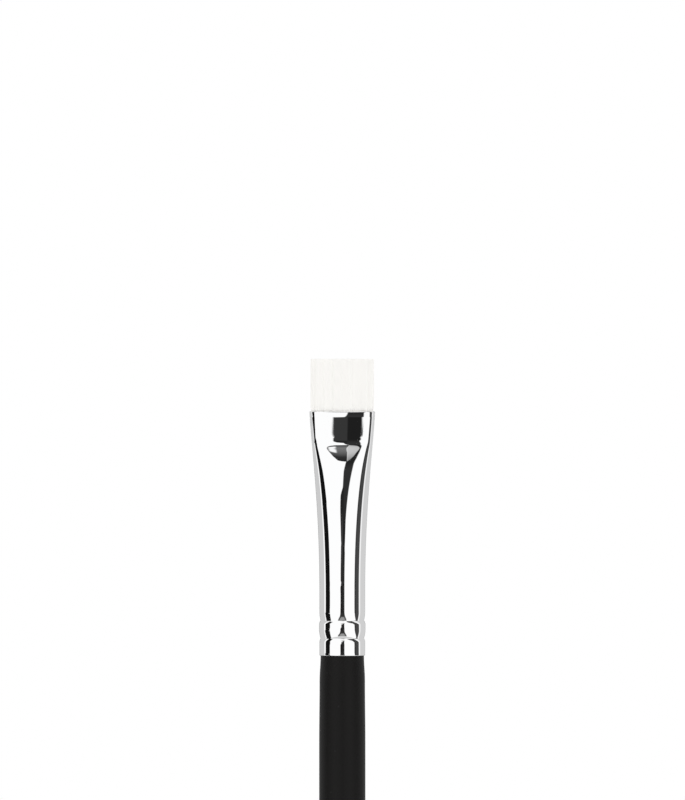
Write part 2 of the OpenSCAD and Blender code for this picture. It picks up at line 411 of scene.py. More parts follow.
@dataclass(frozen=True)
class Finish:
    """A finish of one material slot."""

    slot: Slot
    color: Color
    roughness: float

    def material(self) -> bpy.types.Material:
        """Builds the material of this finish.

        Returns:
            The material.
        """
        made = bpy.data.materials.new(self.slot.value)
        made.use_nodes = True
        made.diffuse_color = rgba(self.color)
        board = Board(made.node_tree)
        shader = board.find("BSDF_PRINCIPLED")
        board.feed(shader.inputs["Base Color"], self.color)
        board.feed(shader.inputs["Roughness"], self.roughness)
        self.dress(board, shader)
        return made

    def dress(self, board: Board, shader: bpy.types.Node) -> None:
        """Adds what is special to the finish."""
        raise NotImplementedError

    def roughen(self, board: Board, shader: bpy.types.Node, lines: object, spread: float,
                *marks: tuple[object, float]) -> None:
        """Lets the roughness follow fine lines, and adds what marks leave.

        Args:
            board: the material's nodes.
            shader: its shader.
            lines: a mask whose middle stands for the finish's own roughness.
            spread: the difference in roughness between the mask's ends.
            marks: masks, each with the roughness that it adds.
        """
        rough = board.math("MULTIPLY_ADD", lines, spread, self.roughness - spread / 2)
        for mask, added in marks:
            rough = board.math("MULTIPLY_ADD", mask, added, rough)
        board.feed(shader.inputs["Roughness"], rough)


@dataclass(frozen=True)
class BrightPlating(Finish):
    """Mirror-polished plating on the drawn tube."""

    slot: Slot = Slot.PLATED_TUBE
    color: Color = (0.985, 0.987, 0.99)
    roughness: float = 0.018
    worn_color: Color = (0.85, 0.84, 0.82)
    line_roughness: float = 0.012
    worn_roughness: float = 0.12
    dust_roughness: float = 0.06
    relief: float = 0.002 * MM

    def dress(self, board: Board, shader: bpy.types.Node) -> None:
        """Adds drawing lines, soft unevenness, worn edges and a little dust.

        Args:
            board: the material's nodes.
            shader: its shader.
        """
        shader.inputs["Metallic"].default_value = 1.0
        lines = DrawnLines().place(board, Across=7000.0, Along=60.0, Contrast=0.5)
        worn = EdgeWear().place(board, Amount=0.5).outputs["Mask"]
        specks = Dust().place(board, Scale=2400.0, Share=0.03).outputs["Mask"]
        soft = Unevenness().place(board, Scale=240.0, Stretch=0.25)
        marks = ((worn, self.worn_roughness), (specks, self.dust_roughness))
        self.roughen(board, shader, lines.outputs["Mask"], self.line_roughness, *marks)
        board.feed(shader.inputs["Base Color"], board.tint(worn, self.color, self.worn_color))
        board.bump(shader, soft.outputs["Height"], self.relief)


@dataclass(frozen=True)
class SatinLacquer(Finish):
    """Sprayed satin black lacquer on turned wood."""

    slot: Slot = Slot.LACQUERED_WOOD
    color: Color = (0.0042, 0.0038, 0.0036)
    roughness: float = 0.5
    sheen: float = 0.18
    grain_color: Color = (0.006, 0.0054, 0.005)
    worn_color: Color = (0.03, 0.024, 0.02)
    dust_color: Color = (0.4, 0.4, 0.4)
    dust_cover: float = 0.05
    grain_roughness: float = 0.06
    worn_roughness: float = 0.15
    grain_relief: float = 0.6
    relief: float = 0.003 * MM

    def dress(self, board: Board, shader: bpy.types.Node) -> None:
        """Adds grain that shows through the lacquer, spray unevenness, wear and dust.

        Args:
            board: the material's nodes.
            shader: its shader.
        """
        shader.inputs["Specular IOR Level"].default_value = self.sheen
        grain, raised = DrawnLines().place(board, Across=2400.0, Along=40.0, Contrast=0.7).outputs
        spray = Unevenness().place(board, Scale=1500.0, Stretch=1.0, Detail=2.0)
        worn = EdgeWear().place(board, Amount=0.35).outputs["Mask"]
        specks = Dust().place(board, Scale=1900.0, Share=0.03)
        self.roughen(board, shader, grain, self.grain_roughness, (worn, self.worn_roughness))
        lighter = board.tint(grain, self.color, self.grain_color)
        edged = board.tint(worn, lighter, self.worn_color)
        dusty = board.math("MULTIPLY", specks.outputs["Mask"], self.dust_cover)
        board.feed(shader.inputs["Base Color"], board.tint(dusty, edged, self.dust_color))
        height = board.math("MULTIPLY_ADD", raised, self.grain_relief, spray.outputs["Height"])
        board.bump(shader, height, self.relief)


@dataclass(frozen=True)
class WhiteFilament(Finish):
    """White synthetic filament with a soft sheen."""

    slot: Slot = Slot.FILAMENT
    color: Color = (0.995, 0.985, 0.96)
    roughness: float = 0.55
    sheen: float = 0.12
    shaded_color: Color = (0.98, 0.968, 0.94)
    mottle_share: float = 0.3
    tone_share: float = 0.7
    line_roughness: float = 0.1

    def dress(self, board: Board, shader: bpy.types.Node) -> None:
        """Varies the tone from filament to filament.

        Args:
            board: the material's nodes.
            shader: its shader.
        """
        shader.inputs["Specular IOR Level"].default_value = self.sheen
        tone = board.node("Attribute", attribute_name=Tuft.TONE).outputs["Fac"]
        toned = board.math("MULTIPLY", tone, self.tone_share)
        mottle = Unevenness().place(board, Scale=900.0, Stretch=0.3, Detail=2.0)
        share = board.math("MULTIPLY_ADD", mottle.outputs["Mask"], self.mottle_share, toned)
        board.feed(shader.inputs["Base Color"], board.tint(share, self.shaded_color, self.color))
        lines = DrawnLines().place(board, Across=12000.0, Along=400.0, Contrast=0.6)
        self.roughen(board, shader, lines.outputs["Mask"], self.line_roughness)


@dataclass(frozen=True)
class TwoToned(Finish):
    """A finish of two tones, one of which stands out a little."""

    effect: Effect
    values: Values
    darker: Color
    relief: float

    def dress(self, board: Board, shader: bpy.types.Node) -> None:
        """Mixes the tones by the effect's mask and raises the surface by its height.

        Args:
            board: the material's nodes.
            shader: its shader.
        """
        placed = self.effect.place(board, **dict(self.values))
        board.feed(shader.inputs["Base Color"], board.tint(placed.outputs["Mask"], self.darker, self.color))
        board.bump(shader, placed.outputs["Height"], self.relief)


@dataclass(frozen=True)
class BondedButts(TwoToned):
    """Packed filament butts as lines, with the resin between them as darker gaps."""

    slot: Slot = Slot.BONDED_FILAMENT
    color: Color = (0.82, 0.79, 0.7)
    roughness: float = 0.4
    effect: Effect = DrawnLines()
    values: Values = (("Across", 9000.0), ("Along", 80.0), ("Contrast", 1.4))
    darker: Color = (0.6, 0.5, 0.33)
    relief: float = 0.03 * MM


@dataclass(frozen=True)
class TwistedPolyester(TwoToned):
    """Twisted polyester thread with its fibres' fuzz."""

    slot: Slot = Slot.THREAD
    color: Color = (0.7, 0.66, 0.56)
    roughness: float = 0.75
    effect: Effect = Unevenness()
    values: Values = (("Scale", 14000.0), ("Stretch", 1.0), ("Detail", 3.0))
    darker: Color = (0.5, 0.46, 0.37)
    relief: float = 0.01 * MM


@dataclass(frozen=True)
class CuredGlue(TwoToned):
    """Smeared, cloudy glue, cured between the tenon and the tube."""

    slot: Slot = Slot.GLUE
    color: Color = (0.78, 0.66, 0.4)
    roughness: float = 0.3
    effect: Effect = Unevenness()
    values: Values = (("Scale", 900.0), ("Stretch", 0.5), ("Detail", 3.0))
    darker: Color = (0.6, 0.46, 0.2)
    relief: float = 0.03 * MM


@dataclass(frozen=True)
class CastResin(Finish):
    """Amber casting resin."""

    slot: Slot = Slot.RESIN
    color: Color = (0.8, 0.62, 0.34)
    roughness: float = 0.18
    cloud_color: Color = (0.62, 0.42, 0.16)
    bubble_color: Color = (0.9, 0.82, 0.6)
    bubble_depth: float = 0.02 * MM

    def dress(self, board: Board, shader: bpy.types.Node) -> None:
        """Clouds the resin and leaves small bubbles.

        Args:
            board: the material's nodes.
            shader: its shader.
        """
        cloud = Unevenness().place(board, Scale=700.0, Stretch=1.0, Detail=2.0)
        bubbles = Dust().place(board, Scale=3200.0, Share=0.2).outputs["Mask"]
        amber = board.tint(cloud.outputs["Mask"], self.cloud_color, self.color)
        board.feed(shader.inputs["Base Color"], board.tint(bubbles, amber, self.bubble_color))
        board.bump(shader, bubbles, -self.bubble_depth)


# Meshes


def levels(low: float, high: float, steps: int) -> np.ndarray:
    """Even heights between two levels, both ends included."""
    return np.linspace(low, high, steps + 1)


def smooth(share: np.ndarray | float) -> np.ndarray | float:
    """A cosine step from 0 to 1 over shares from 0 to 1."""
    return (1 - np.cos(np.pi * np.clip(share, 0, 1))) / 2


def turns(points: int) -> np.ndarray:
    """Even angles round a full turn, in radians."""
    return np.arange(points) * 2 * np.pi / points


def circle(radius: float, height: float, points: int) -> np.ndarray:
    """One ring of points round the brush's axis, counterclockwise from +X."""
    turn = turns(points)
    return np.stack([radius * np.cos(turn), radius * np.sin(turn), np.full(points, height)], -1)


def ring_quads(rings: int, points: int, looped: bool) -> np.ndarray:
    """Quads between neighbouring rings, facing outward where the rings go up counterclockwise.

    Args:
        rings: the number of rings.
        points: the points of each.
        looped: also join the last ring to the first.

    Returns:
        One row of four indices for each quad.
    """
    k = np.arange(rings if looped else rings - 1)[:, None]
    i = np.arange(points)[None, :]
    here, above, after = k * points, (k + 1) % rings * points, (i + 1) % points
    return np.stack([here + i, here + after, above + after, above + i], -1).reshape(-1, 4)


class Piece:
    """Turns arrays into a piece of the brush."""

    def __init__(self, name: str, vertices: np.ndarray, faces: list[list[int]]) -> None:
        """Makes the object.

        Args:
            name: the piece's name.
            vertices: its corners in metres.
            faces: its faces as lists of corner numbers.
        """
        mesh = bpy.data.meshes.new(name)
        mesh.from_pydata(vertices.tolist(), [], faces)
        mesh.polygons.foreach_set("use_smooth", [True] * len(mesh.polygons))
        mesh.update()
        self.object = bpy.data.objects.new(name, mesh)
        bpy.context.scene.collection.objects.link(self.object)

    @classmethod
    def looped(cls, name: str, rings: np.ndarray) -> "Piece":
        """Joins rings of points into a closed loop, such as a tube's wall."""
        count, points = rings.shape[:2]
        return cls(name, rings.reshape(-1, 3), ring_quads(count, points, True).tolist())

    @classmethod
    def capped(cls, name: str, rings: np.ndarray, low: float, high: float) -> "Piece":
        """Joins rings into a solid whose ends close on the axis.

        Args:
            name: the piece's name.
            rings: an array of rings of points, from the lowest up.
            low: the height of the lower end's middle.
            high: the height of the upper end's middle.

        Returns:
            The piece.
        """
        count, points = rings.shape[:2]
        last = count * points
        faces = ring_quads(count, points, False).tolist()
        for i in range(points):
            after = (i + 1) % points
            faces.append([last, after, i])
            faces.append([last + 1, last - points + i, last - points + after])
        return cls(name, np.vstack([rings.reshape(-1, 3), [[0, 0, low], [0, 0, high]]]), faces)

    def finish(self, finish: Finish, *nodes: str) -> None:
        """Dresses the piece, lets it ride and says which construction nodes it stands for.

        Args:
            finish: the piece's finish.
            nodes: the construction nodes that it replaces.
        """
        self.object.data.materials.append(finish.material())
        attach(self.object, BODY)
        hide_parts(*nodes)
        faces = len(self.object.data.polygons)
        log.info("%s: %d faces, stands for %s", self.object.name, faces, ", ".join(nodes))


# Sub-assemblies


@dataclass(frozen=True)
class Ferrule:
    """The drawn tube: a round socket with rolled crimps, pressed flat towards its mouth."""

    low: float = 128.3 * MM
    mouth: float = 162.6 * MM
    socket_length: float = 8.8 * MM
    radius: float = 3.2 * MM
    wall: float = 0.25 * MM
    mouth_width: float = 9.2 * MM
    mouth_thickness: float = 3.2 * MM
    flat_length: float = 4.6 * MM
    crease_length: float = 0.18 * MM
    lip_draw: float = 0.15 * MM
    lip_length: float = 0.8 * MM
    edge_radius: float = 0.08 * MM
    crimps: tuple[float, float] = (2.4 * MM, 4.9 * MM)
    crimp_upper: float = 1.2 * MM
    crimp_lower: float = 0.5 * MM
    crimp_depth: float = 0.16 * MM
    bead_rise: float = 0.05 * MM
    flare_skew: float = 0.65
    swell_power: float = 4.7
    lip_power: float = 1.1
    lip_reach: float = 1.6
    crimp_power: float = 1.8
    edge_tightness: float = 0.074
    edge_growth: float = 2.4
    points: int = 288
    low_steps: int = 5
    groove_steps: tuple[int, int] = (20, 24)
    socket_steps: int = 4
    swell_steps: int = 90
    swell_crowding: float = 1.6
    face_steps: int = 40
    lip_steps: int = 10
    corner_start: float = 15.0
    corner_steps: int = 5
    height_decimals: int = 8
    round_limit: float = 0.001

    @property
    def flare_length(self) -> float:
        """Length over which the tube goes from flat to round."""
        return self.mouth - self.low - self.socket_length

    @property
    def crease(self) -> float:
        """Height of the crease under the parallel faces."""
        return self.mouth - self.flat_length

    def half_width(self, z: float) -> float:
        """Outer half width at a height."""
        below = np.clip((self.mouth - z) / self.flare_length, 0, 1)
        return self.radius + (self.mouth_width / 2 - self.radius) * (1 - smooth(below**self.flare_skew))

    def half_thickness(self, z: float) -> float:
        """Outer half thickness at a height, before the lip is drawn in."""
        below = self.crease_length * np.logaddexp(0, (self.crease - z) / self.crease_length)
        share = np.clip(below / (self.flare_length - self.flat_length), 0, 1)
        swell = 1 - (1 - share) ** self.swell_power
        face = self.mouth_thickness / 2
        return face + (self.radius - face) * swell

    def lip_dip(self, z: float) -> float:
        """How far the faces are drawn in at a height."""
        return self.lip_draw * (1 - np.clip((self.mouth - z) / self.lip_length, 0, 1)) ** self.lip_power

    def dip(self, z: float) -> float:
        """Depth of the rolled grooves at a height: a long upper flank and a short lower one."""
        shares = []
        for crimp in self.crimps:
            above = z - self.low - crimp
            away = above / self.crimp_upper if above > 0 else -above / self.crimp_lower
            shares.append((1 - min(away, 1.0)) ** self.crimp_power)
        return self.crimp_depth * max(shares)

    def tube_dip(self, z: float) -> float:
        """Depth of the grooves in the tube, whose bead stands out between them."""
        between = self.crimps[0] < z - self.low < self.crimps[1]
        bead = self.bead_rise if between else 0.0
        return self.dip(z) * (1 + bead / self.crimp_depth) - bead

    def section(self, z: float, inset: float) -> np.ndarray:
        """One ring of the tube at a height, some inset inside its outer face, counterclockwise from +X."""
        return self.places(z, inset + self.tube_dip(z), turns(self.points))

    def places(self, z: float, inset: float, turn: np.ndarray) -> np.ndarray:
        """Points of the four-arc section at some angles.

        Args:
            z: the section's height.
            inset: how far the points lie inside the outer face.
            turn: the angles round the axis from +X, in radians, before the section is flattened.

        Returns:
            The points.
        """
        a, b = float(self.half_width(z)), float(self.half_thickness(z))
        facing = np.arctan2(math.sqrt(a / b) * np.sin(turn), np.cos(turn))
        across, through = np.cos(facing), np.sin(facing)
        x, y = np.abs(across), np.abs(through)
        flattening = 1 - b / a
        edge = b * (1 - self.edge_tightness * flattening * (1 + self.edge_growth * flattening**2))
        if a - b < a * self.round_limit:
            px, py = (a - inset) * x, (a - inset) * y
        else:
            face = (a * a + b * b - 2 * a * edge) / (2 * (b - edge))
            on_face = np.arctan2(x, y) <= math.atan2(a - edge, face - b)
            px = np.where(on_face, (face - inset) * x, a - edge + (edge - inset) * x)
            py = np.where(on_face, b - face + (face - inset) * y, (edge - inset) * y)
        py = py - self.lip_dip(z) * np.minimum(1, self.lip_reach * py / b)
        return np.stack([np.copysign(px, across), np.copysign(py, through), np.full(len(turn), z)], -1)

    def heights(self) -> np.ndarray:
        """Heights of the outer face's rings, closer together at the crimps, the crease and the lip."""
        first, last = self.low + self.edge_radius, self.mouth - self.edge_radius
        flare, lip_low = self.mouth - self.flare_length, self.mouth - self.lip_length
        lower, upper = self.groove_steps
        grooves = np.concatenate([
            self.low + crimp + levels(edge, end, steps)
            for crimp in self.crimps
            for edge, end, steps in ((-self.crimp_lower, 0, lower), (0, self.crimp_upper, upper))])
        low = levels(first, grooves[0], self.low_steps)
        socket = levels(grooves[-1], flare, self.socket_steps)
        swell = self.crease - (self.crease - flare) * levels(1, 0, self.swell_steps) ** self.swell_crowding
        face = self.crease + (lip_low - self.crease) * smooth(levels(0, 1, self.face_steps))
        lip = levels(lip_low, last, self.lip_steps)
        found = np.concatenate([low, grooves, socket, swell, face, lip])
        return np.unique(found.round(self.height_decimals))

    def build(self) -> None:
        """Lofts the outer face, the rounded lip, the inner face and the rounded lower edge."""
        outer = [self.section(z, 0) for z in self.heights()]
        lip = self.rounded_end(self.mouth, 1)
        inner = [self.section(z, self.wall) for z in self.heights()[::-2]]
        low = self.rounded_end(self.low, -1)[::-1]
        rings = np.array(outer + lip + inner + low)
        Piece.looped("ferrule_tube", rings).finish(BrightPlating(), "ferrule")

    def rounded_end(self, end: float, way: int) -> list[np.ndarray]:
        """Rings round the edge of the wall at one end of the tube.

        Args:
            end: the end's height.
            way: 1 for the upper end and -1 for the lower one.

        Returns:
            The rings, from the outer face to the inner one.
        """
        r = self.edge_radius
        corner = np.radians(levels(self.corner_start, 90, self.corner_steps))
        outer = [(r * (1 - math.cos(t)), end - way * r * (1 - math.sin(t))) for t in corner]
        inner = [(self.wall - inset, z) for inset, z in outer[::-1]]
        return [self.section(z, inset) for inset, z in outer + inner]


@dataclass(frozen=True)
class Tuft:
    """The white filaments, cut square, on the top slice of their bonded root."""

    ferrule: Ferrule
    tip: float = 170.0 * MM
    foot_rise: float = 0.2 * MM
    slice_thickness: float = 0.8 * MM
    slice_steps: int = 12
    packing_gap: float = 0.04 * MM
    spread: float = 0.16 * MM
    filament_pitch: float = 0.1 * MM
    filament_width: float = 0.165 * MM
    cut_scatter: float = 0.012 * MM
    cut_limit: float = 3.0
    sway: float = 0.004 * MM
    spread_power: float = 30.0
    ring_shares: tuple[float, ...] = (0.035, 0.1, 0.4)
    cut_share: float = 0.9
    cut_band: float = 0.03 * MM
    sides: int = 5
    seed: int = 7
    TONE = "filament_tone"

    @property
    def foot(self) -> float:
        """Height of the top of the slice, where the filaments start."""
        return self.ferrule.crease + self.foot_rise

    def places(self) -> np.ndarray:
        """Places of the filaments: a hexagonal packing clipped to the tube's bore at the mouth.

        Returns:
            One row of x and y for each filament.
        """
        inset = self.ferrule.wall + self.packing_gap + self.filament_width / 2
        edge = self.ferrule.section(self.ferrule.mouth, inset)
        half = edge[:, :2].max(0)
        found = []
        rows = int(half[1] / (self.filament_pitch * TRIANGLE_HEIGHT)) + 1
        for row in range(-rows, rows + 1):
            y = row * self.filament_pitch * TRIANGLE_HEIGHT
            across = edge[np.abs(edge[:, 1]) >= abs(y), 0]
            if len(across) == 0:
                continue
            reach = np.abs(across).max()
            shift = self.filament_pitch / 2 * (row % 2)
            for x in np.arange(-reach, reach, self.filament_pitch) + shift:
                if abs(x) <= reach:
                    found.append((x, y))
        log.info("tuft: %d filaments from %.4f m up", len(found), self.foot)
        return np.array(found)

    def build(self) -> None:
        """Builds the filaments and the bonded slice."""
        self.build_filaments()
        self.build_slice()

    def build_filaments(self) -> None:
        """Sweeps each filament from the slice through the mouth to the cut."""
        places = self.places()
        draw = np.random.default_rng(self.seed)
        count = len(places)
        foot, mouth = self.foot, self.ferrule.mouth
        half = np.abs(places).max(0)
        fan = 1 + self.spread / half
        shares = (0.0, *self.ring_shares, 1 - self.cut_band / (self.tip - mouth), 1.0)
        heights = [foot] + [mouth + (self.tip - mouth) * share for share in shares]
        shortening = np.abs(draw.normal(0, self.cut_scatter, count))
        end = self.tip - shortening.clip(0, self.cut_limit * self.cut_scatter)
        lean = draw.normal(0, self.sway, (count, 2))
        tone = draw.random(count)
        twist = draw.random(count) * 2 * np.pi
        angle = turns(self.sides)[None, :] + twist[:, None]
        around = np.stack([np.cos(angle), np.sin(angle)], -1)
        rings = []
        for z in heights:
            share = np.clip((z - mouth) / (self.tip - mouth), 0, 1)
            spread = 1 - (1 - share) ** self.spread_power
            centre = places * (1 + (fan - 1) * spread) + lean * share
            centre = np.clip(centre, -half * fan, half * fan)
            ring = centre[:, None, :] + self.filament_width / 2 * around
            # The rings next to the cut follow each filament's own length
            level = np.full(count, z) if share < self.cut_share else end - (self.tip - z)
            rings.append(np.dstack([ring, np.broadcast_to(level[:, None], (count, self.sides))]))
        stack = np.array(rings).transpose(1, 0, 2, 3)
        steps = len(heights)
        per_filament = steps * self.sides
        side = ring_quads(steps, self.sides, False)
        cap = [list(range(per_filament - self.sides, per_filament)), list(range(self.sides))[::-1]]
        faces = []
        for n in range(count):
            faces += (side + n * per_filament).tolist()
            faces += [[v + n * per_filament for v in face] for face in cap]
        piece = Piece("tuft_filaments", stack.reshape(-1, 3), faces)
        tones = piece.object.data.attributes.new(self.TONE, "FLOAT", "POINT")
        tones.data.foreach_set("value", np.repeat(tone, per_filament).astype(np.float32))
        smoothed = np.tile([True] * len(side) + [False] * len(cap), count)
        piece.object.data.polygons.foreach_set("use_smooth", smoothed)
        piece.finish(WhiteFilament(), "tuft")

    def build_slice(self) -> None:
        """Builds the bonded slice that the filaments stand on."""
        low = self.foot - self.slice_thickness
        inset = self.ferrule.wall + self.packing_gap
        rings = np.array([self.ferrule.section(z, inset) for z in levels(low, self.foot, self.slice_steps)])
        Piece.capped("tuft_bonded_slice", rings, low, self.foot).finish(BondedButts(), "tuft")


@dataclass(frozen=True)
class Handle:
    """The turned handle: domed butt, long taper, straight barrel, swelling, neck and tenon."""

    ferrule: Ferrule
    barrel_radius: float = 3.25 * MM
    barrel_length: float = 20 * MM
    neck_step: float = 0.15 * MM
    neck_length: float = 3.6 * MM
    swell_length: float = 8.8 * MM
    swell_rise: float = 0.06 * MM
    butt_radius: float = 1.9 * MM
    tenon_length: float = 10 * MM
    glue_seat_length: float = 3.2 * MM
    glue_thickness: float = 0.2 * MM
    seat_gap: float = 0.05 * MM
    tenon_chamfer: float = 0.3 * MM
    shoulder_round: float = 0.06 * MM
    points: int = 160
    dome_start: float = 6.0
    dome_steps: int = 14
    taper_steps: int = 60
    barrel_steps: int = 10
    swell_steps: int = 24
    neck_steps: int = 24
    neck_share: float = 0.98
    shoulder_steps: int = 5
    tenon_steps: int = 60
    seat_edge: float = 0.01 * MM

    def outline(self) -> list[tuple[float, float]]:
        """Radius and height of each ring, from the butt up to the tenon's tip."""
        top, butt = self.ferrule.low, self.butt_radius
        barrel_top = top - self.neck_length - self.swell_length
        barrel_low = barrel_top - self.barrel_length
        neck = self.ferrule.radius - self.neck_step
        swollen = self.barrel_radius - self.swell_rise
        dome_turn = np.radians(levels(self.dome_start, 90, self.dome_steps))
        dome = [(butt * math.sin(t), butt * (1 - math.cos(t))) for t in dome_turn]
        taper = [
            (butt + (self.barrel_radius - butt) * math.sin(math.pi / 2 * s), butt + (barrel_low - butt) * s)
            for s in levels(0, 1, self.taper_steps)[1:]]
        barrel = [(self.barrel_radius, z) for z in levels(barrel_low, barrel_top, self.barrel_steps)[1:]]
        slow = [
            (self.barrel_radius - self.swell_rise * float(smooth(s)), barrel_top + self.swell_length * s)
            for s in levels(0, 1, self.swell_steps)[1:]]
        quick = [
            (swollen - (swollen - neck) * float(smooth(s)), top - self.neck_length * (1 - s))
            for s in levels(0, self.neck_share, self.neck_steps)[1:]]
        r = self.shoulder_round
        shoulder_turn = np.radians(levels(0, 90, self.shoulder_steps))
        shoulder = [(neck - r * (1 - math.cos(t)), top - r * (1 - math.sin(t))) for t in shoulder_turn]
        return dome + taper + barrel + slow + quick + shoulder + self.tenon()

    def tenon(self) -> list[tuple[float, float]]:
        """Radius and height of the tenon's rings, with its grooves and its thinner glue seat."""
        bore = self.ferrule.radius - self.ferrule.wall
        low, tip = self.ferrule.low, self.ferrule.low + self.tenon_length
        seat, seat_low = bore - self.seat_gap - self.glue_thickness, tip - self.glue_seat_length
        heights = levels(low, seat_low, self.tenon_steps)
        grooved = [(bore - self.seat_gap - self.ferrule.dip(z), z) for z in heights]
        chamfer = self.tenon_chamfer
        return grooved + [(seat, seat_low + self.seat_edge), (seat, tip - chamfer), (seat - chamfer, tip)]

    def build(self) -> None:
        """Revolves the outline."""
        rings = np.array([circle(r, z, self.points) for r, z in self.outline()])
        Piece.capped("handle_turned", rings, 0.0, rings[-1, 0, 2]).finish(SatinLacquer(), "handle")


@dataclass(frozen=True)
class BindingThread:
    """The three-ply thread wound round the bonded root."""

    ferrule: Ferrule
    turns: int = 3
    pitch: float = 0.78 * MM
    width: float = 0.3 * MM
    plies: int = 3
    twist: float = 1.6 * MM
    ply_swell: float = 1.06
    packing_gap: float = 0.04 * MM
    clearance: float = 0.1 * MM
    seat_gap: float = 0.05 * MM
    root_top: float = 157.4 * MM
    root_length: float = 6.4 * MM
    rings_per_turn: int = 96
    sides: int = 8

    def centre_line(self) -> np.ndarray:
        """Points along the winding, from its lower end up."""
        length = self.turns * self.pitch + 2 * self.width
        low = self.root_top - (self.root_length + length) / 2
        waist = self.width + self.clearance + self.seat_gap
        inset = self.ferrule.wall + self.packing_gap + waist - self.clearance - self.width / 2
        found = []
        for i in range(self.turns * self.rings_per_turn + 1):
            turn = i / self.rings_per_turn
            z = low + self.width + turn * self.pitch
            found.append(self.ferrule.places(z, inset, np.array([2 * np.pi * turn]))[0])
        return np.array(found)

    def build(self) -> None:
        """Sweeps the plies round the winding's centre line."""
        line = self.centre_line()
        along = np.gradient(line, axis=0)
        along /= np.linalg.norm(along, axis=1)[:, None]
        side = np.cross(along, [0, 0, 1])
        side /= np.linalg.norm(side, axis=1)[:, None]
        up = np.cross(side, along)
        run = np.concatenate([[0], np.cumsum(np.linalg.norm(np.diff(line, axis=0), axis=1))])
        ply = self.width / (2 + 2 / TRIANGLE_HEIGHT) * self.ply_swell
        angle = -turns(self.sides)[None, :, None]
        around = np.cos(angle) * side[:, None, :] + np.sin(angle) * up[:, None, :]
        vertices, faces = [], []
        for p in range(self.plies):
            turn = 2 * np.pi * (run / self.twist + p / self.plies)[:, None]
            centre = line + (self.width / 2 - ply) * (np.cos(turn) * side + np.sin(turn) * up)
            rings = centre[:, None, :] + ply * around
            start = len(vertices) * len(line) * self.sides
            vertices.append(rings.reshape(-1, 3))
            faces += (ring_quads(len(line), self.sides, False) + start).tolist()
            last = start + (len(line) - 1) * self.sides
            faces += [[start + i for i in range(self.sides)][::-1], [last + i for i in range(self.sides)]]
        plies = Piece("binding_thread_plies", np.vstack(vertices), faces)
        plies.finish(TwistedPolyester(), "binding_thread")


@dataclass(frozen=True)
class KeptSolids:
    """Construction nodes whose own shape is right, which only get a finish."""

    finishes: tuple[tuple[str, Finish], ...] = (
        ("root_block", BondedButts()),
        ("resin_plug", CastResin()),
        ("glue_collar", CuredGlue()),
    )

    def build(self) -> None:
        """Gives each node its finish."""
        for name, finish in self.finishes:
            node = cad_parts[name]
            node.data.materials.clear()
            node.data.materials.append(finish.material())
            log.info("%s: keeps its construction solid", name)


# Studio

# Directions just past straight behind and straight below, in degrees
BEHIND = 182.0
BELOW = -91.0


@dataclass(frozen=True)
class Card:
    """A flag or card of the studio, as the direction that it takes up round the brush, in degrees.

    West and east are its sides as the camera sees the brush, with 0 towards the camera. The sides and
    the tone may change with the elevation.
    """

    west: Line
    east: Line
    low: float
    high: float
    tone: Line
    side_softness: float = 0.8
    low_softness: float = 2.0
    high_softness: float = 2.0


